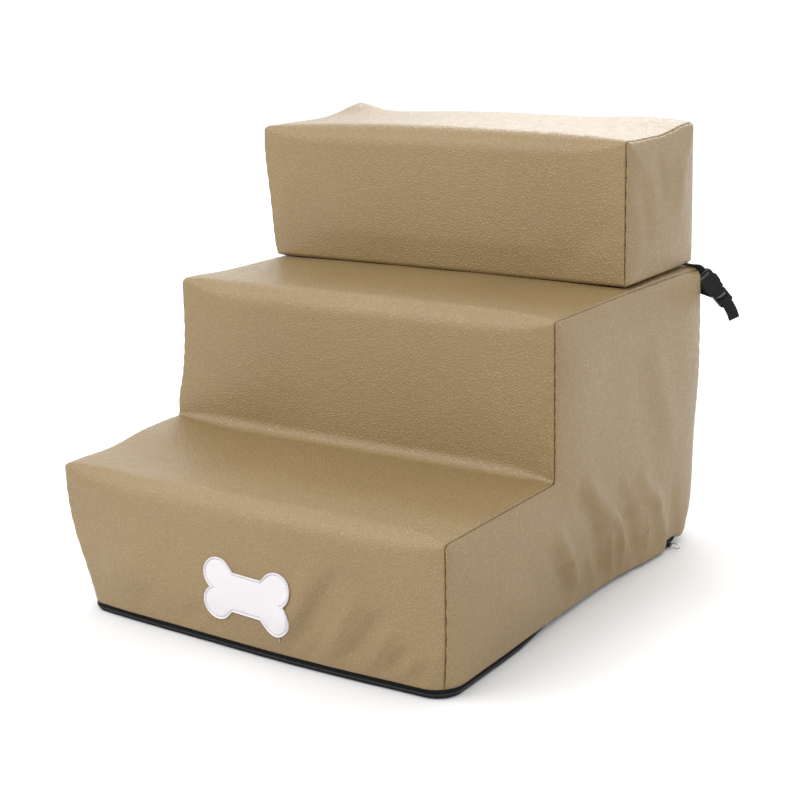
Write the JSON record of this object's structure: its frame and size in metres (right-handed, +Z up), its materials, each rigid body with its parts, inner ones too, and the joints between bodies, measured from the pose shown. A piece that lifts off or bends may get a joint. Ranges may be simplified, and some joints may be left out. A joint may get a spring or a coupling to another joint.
{
  "type": "pet stairs",
  "caption": "Soft leather-covered foam pet stairs: an L-shaped base with a zip round its foot, and a separate block strapped on as the top step",
  "frame": {"origin": "on the floor, under the middle of the whole object's box, straps and buckles included", "axes": "+X to the right seen from the front, +Y from the lowest step to the rear, +Z up"},
  "size_m": [0.4062, 0.4356, 0.3563],
  "materials": {
    "leather": "satin",
    "foam": "matte",
    "bottom_fabric": "matte",
    "zip_tape": "matte",
    "zip_coil": "satin",
    "slider_metal": "gloss",
    "pull_wire": "polished",
    "label_rubber": "satin",
    "webbing": "matte",
    "buckle_plastic": "satin"
  },
  "bodies": {
    "base": {"lower_foam": "foam", "upper_foam": "foam", "step_cover": "leather", "left_side_panel": "leather", "right_side_panel": "leather", "back_panel": "leather", "bottom_panel": "bottom_fabric", "cover_zip_tape": "zip_tape", "bottom_zip_tape": "zip_tape", "base_zip_coil": "zip_coil", "base_zip_stops": "zip_coil", "bone_label": "label_rubber", "right_block_strap": "webbing", "right_base_strap": "webbing", "right_buckle_socket": "buckle_plastic", "left_block_strap": "webbing", "left_base_strap": "webbing", "left_buckle_socket": "buckle_plastic"},
    "base_slider": {"base_zip_slider": "slider_metal"},
    "base_pull": {"base_zip_pull": "pull_wire"},
    "block": {"block_foam": "foam", "block_cover": "leather", "block_left_panel": "leather", "block_right_panel": "leather", "block_bottom_panel": "bottom_fabric", "block_zip_tapes": "zip_tape", "block_zip_coil": "zip_coil", "block_zip_stops": "zip_coil"},
    "block_slider": {"block_zip_slider": "slider_metal"},
    "block_pull": {"block_zip_pull": "pull_wire"},
    "right_plug": {"right_buckle_plug": "buckle_plastic", "right_strap_tail": "webbing"},
    "right_upper_arm": {"right_upper_arm": "buckle_plastic"},
    "right_lower_arm": {"right_lower_arm": "buckle_plastic"},
    "left_plug": {"left_buckle_plug": "buckle_plastic", "left_strap_tail": "webbing"},
    "left_upper_arm": {"left_upper_arm": "buckle_plastic"},
    "left_lower_arm": {"left_lower_arm": "buckle_plastic"}
  },
  "joints": [
    {"name": "block_fold", "type": "hinge", "parent": "base", "child": "block", "pos_m": [0, 0.19655, 0.2393], "axis": [-1, 0, 0], "range_deg": [0, 180], "deforming": ["right_block_strap", "left_block_strap"]},
    {"name": "base_zip_slide", "type": "slide", "parent": "base", "child": "base_slider", "axis": [0, -1, 0], "range_m": [0, 0.322]},
    {"name": "base_pull_swing", "type": "hinge", "parent": "base_slider", "child": "base_pull", "pos_m": [0.1767, 0.14075, 0.0035], "axis": [0, 0, 1], "range_deg": [-80, 80]},
    {"name": "block_zip_slide", "type": "slide", "parent": "block", "child": "block_slider", "axis": [-1, 0, 0], "range_m": [0, 0.305]},
    {"name": "block_pull_swing", "type": "hinge", "parent": "block_slider", "child": "block_pull", "pos_m": [0.1542, 0.19225, 0.2424], "axis": [0, 0, 1], "range_deg": [-160, 0]},
    {"name": "right_plug_slide", "type": "slide", "parent": "base", "child": "right_plug", "axis": [0.4545, 0.4545, -0.766], "range_m": [0, 0.02]},
    {"name": "right_upper_release", "type": "hinge", "parent": "right_plug", "child": "right_upper_arm", "pos_m": [0.18906, 0.20761, 0.21573], "axis": [0.7071, -0.7071, 0], "range_deg": [0, 6.5], "stiffness_Nm_per_rad": 0.3},
    {"name": "right_lower_release", "type": "hinge", "parent": "right_plug", "child": "right_lower_arm", "pos_m": [0.18494, 0.2035, 0.21084], "axis": [-0.7071, 0.7071, 0], "range_deg": [0, 6.5], "stiffness_Nm_per_rad": 0.3},
    {"name": "left_plug_slide", "type": "slide", "parent": "base", "child": "left_plug", "axis": [-0.4545, 0.4545, -0.766], "range_m": [0, 0.02]},
    {"name": "left_upper_release", "type": "hinge", "parent": "left_plug", "child": "left_upper_arm", "pos_m": [-0.18906, 0.20761, 0.21573], "axis": [0.7071, 0.7071, 0], "range_deg": [0, 6.5], "stiffness_Nm_per_rad": 0.3},
    {"name": "left_lower_release", "type": "hinge", "parent": "left_plug", "child": "left_lower_arm", "pos_m": [-0.18494, 0.2035, 0.21084], "axis": [-0.7071, -0.7071, 0], "range_deg": [0, 6.5], "stiffness_Nm_per_rad": 0.3}
  ]
}
